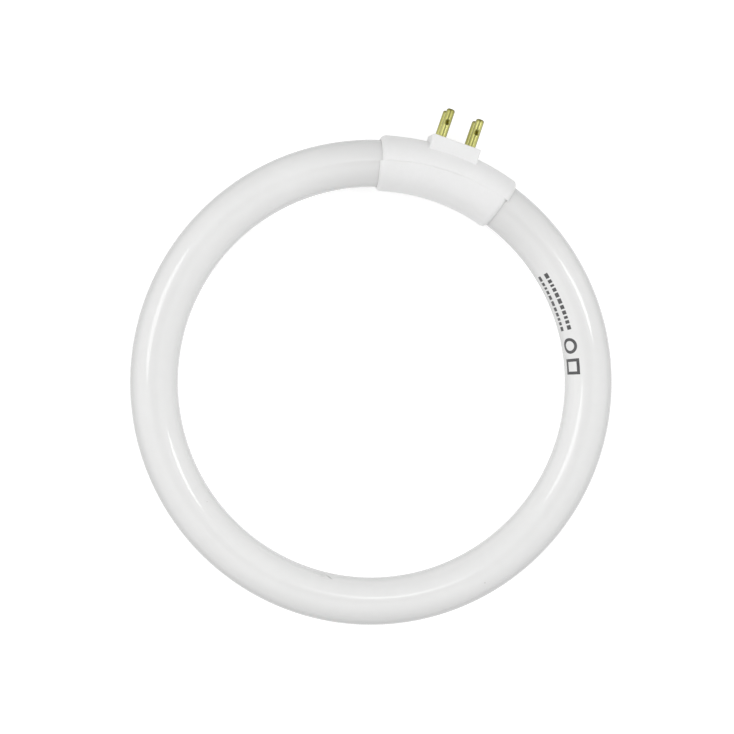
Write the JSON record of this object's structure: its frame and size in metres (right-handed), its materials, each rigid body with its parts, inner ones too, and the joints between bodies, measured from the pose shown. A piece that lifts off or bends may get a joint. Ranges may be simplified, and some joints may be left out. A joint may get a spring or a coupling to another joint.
{
  "type": "circular fluorescent tube",
  "caption": "White ring-shaped fluorescent tube whose sealed ends meet in a moulded two-part plastic cap with brass contact pins pointing outwards; the light source of a round lamp.",
  "frame": {"origin": "centre of the ring, in the plane of the tube's centre-line", "axes": "+Z along the ring's axis, +Y from the ring's centre through the cap and along the pins"},
  "size_m": [0.123, 0.1333, 0.0142],
  "materials": {
    "white_glass": "gloss",
    "white_plastic": "matte",
    "brass": "satin",
    "lead_wire": "satin"
  },
  "bodies": {
    "root": {"glass_tube": "white_glass", "cap_outer_shell": "white_plastic", "cap_inner_shell": "white_plastic", "pin_front_left": "brass", "pin_front_right": "brass", "pin_rear_left": "brass", "pin_rear_right": "brass", "lead_wire_front_left": "lead_wire", "lead_wire_front_right": "lead_wire", "lead_wire_rear_left": "lead_wire", "lead_wire_rear_right": "lead_wire"}
  },
  "joints": []
}
